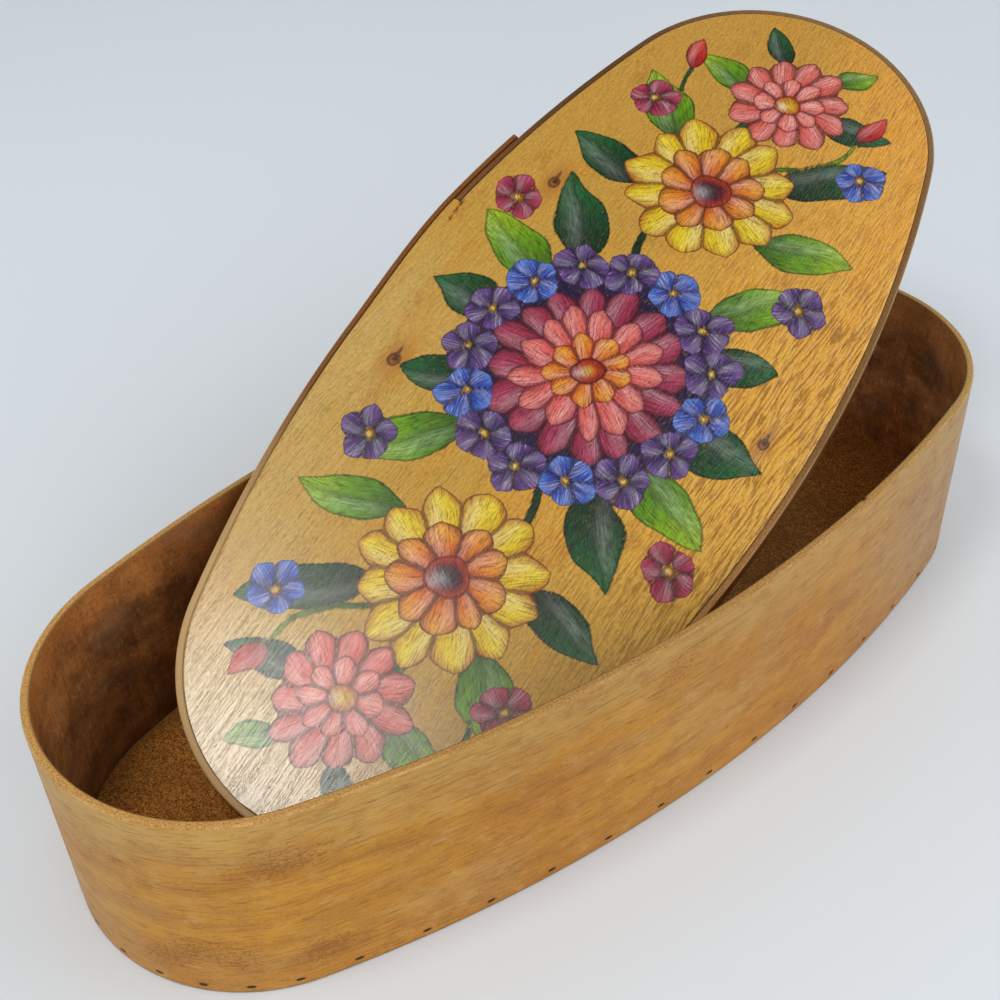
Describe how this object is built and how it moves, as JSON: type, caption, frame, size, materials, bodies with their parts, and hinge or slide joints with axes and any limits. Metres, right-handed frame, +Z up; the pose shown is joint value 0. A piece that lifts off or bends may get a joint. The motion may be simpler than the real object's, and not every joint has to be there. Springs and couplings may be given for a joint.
{
  "type": "oval bentwood box with lift-off lid",
  "caption": "Oval bentwood box with a bottom board nailed inside its bent side and a flat lift-off lid in a lapped band, shown open with the lid leaning inside.",
  "frame": {"origin": "centre of the underside of the box", "axes": "+X along the box towards the end where the lid stands up, +Y towards the back, +Z up"},
  "size_m": [0.4278, 0.2099, 0.1793],
  "materials": {
    "bent_side": "worn varnish, dark stain inside",
    "bottom": "matt granular board",
    "panel": "satin varnish with drawn decoration",
    "lid_rim": "worn varnish",
    "brads": "dull and darkened"
  },
  "bodies": {
    "box": {"body_band": "bent_side", "bottom_board": "bottom", "bottom_brads": "brads"},
    "lid": {"lid_panel": "panel", "lid_band": "lid_rim", "lid_brads": "brads"}
  },
  "joints": [
    {"name": "lid_lift", "type": "slide", "parent": "box", "child": "lid", "axis": [0, 0, 1], "range_m": [0, 0.15]}
  ]
}
